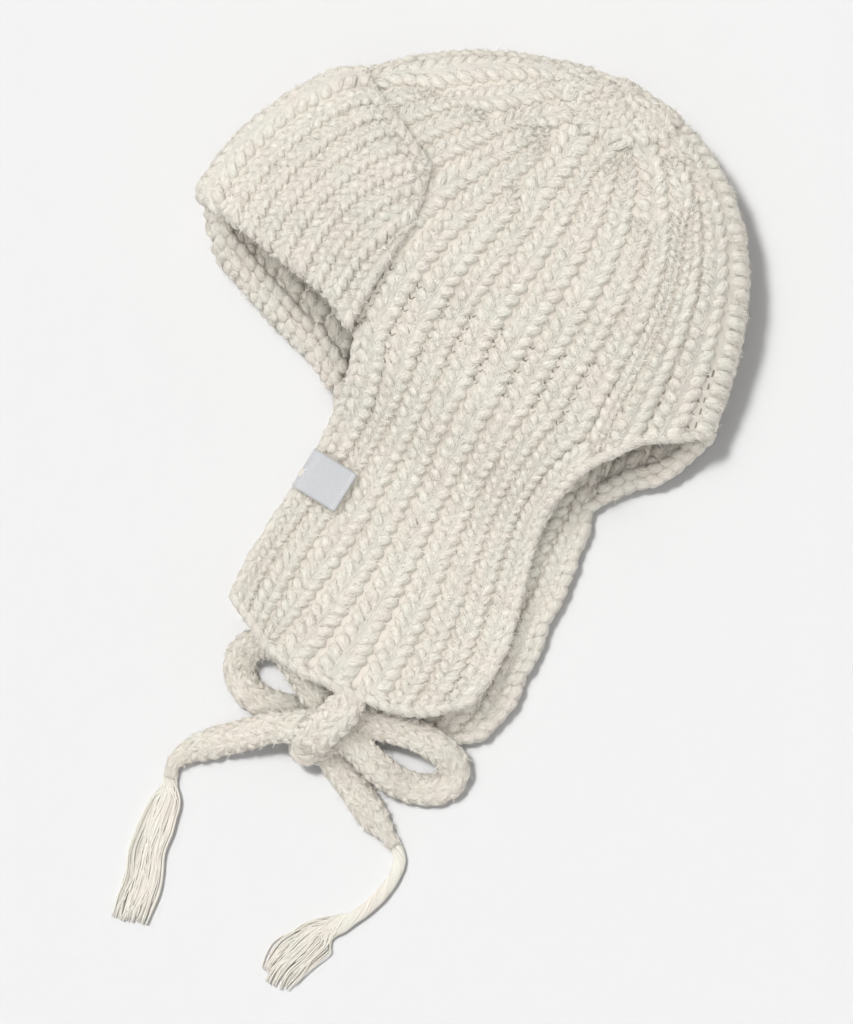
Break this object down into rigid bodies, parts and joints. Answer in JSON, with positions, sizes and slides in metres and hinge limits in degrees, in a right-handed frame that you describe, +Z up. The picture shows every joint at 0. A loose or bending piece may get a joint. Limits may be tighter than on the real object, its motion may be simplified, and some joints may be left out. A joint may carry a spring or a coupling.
{
  "type": "knitted aviator hat",
  "caption": "Rib-knit aviator hat lying on its side, with a turned-up peak, long ear flaps, a blank woven side label and flat braided ties in a bow that end in loose yarn tassels.",
  "frame": {"origin": "on the ground, under the middle of the knitted pieces' box", "axes": "+Z up, +Y from the flaps to the crown's top, -X to the face opening, +X to the nape"},
  "size_m": [0.2912, 0.4859, 0.0572],
  "materials": {
    "rib_knit": "chunky rib knit in off-white woollen yarn, matt and fuzzy",
    "peak_knit": "the same yarn in a closer rib, matt and fuzzy",
    "woven_label": "smooth woven ribbon, pale grey, blank, slight sheen",
    "braided_tie": "flat knitted cord in the same yarn, matt",
    "tassel_yarn": "loose unspun yarn ends, matt"
  },
  "bodies": {
    "root": {"knitted_body": "rib_knit", "turned_up_peak": "peak_knit", "side_label": "woven_label", "bow_knot": "braided_tie", "left_loop": "braided_tie", "right_loop": "braided_tie", "left_tail": "braided_tie", "right_tail": "braided_tie", "right_tail_yarns": "tassel_yarn", "left_tassel": "tassel_yarn", "right_tassel": "tassel_yarn"}
  },
  "joints": []
}
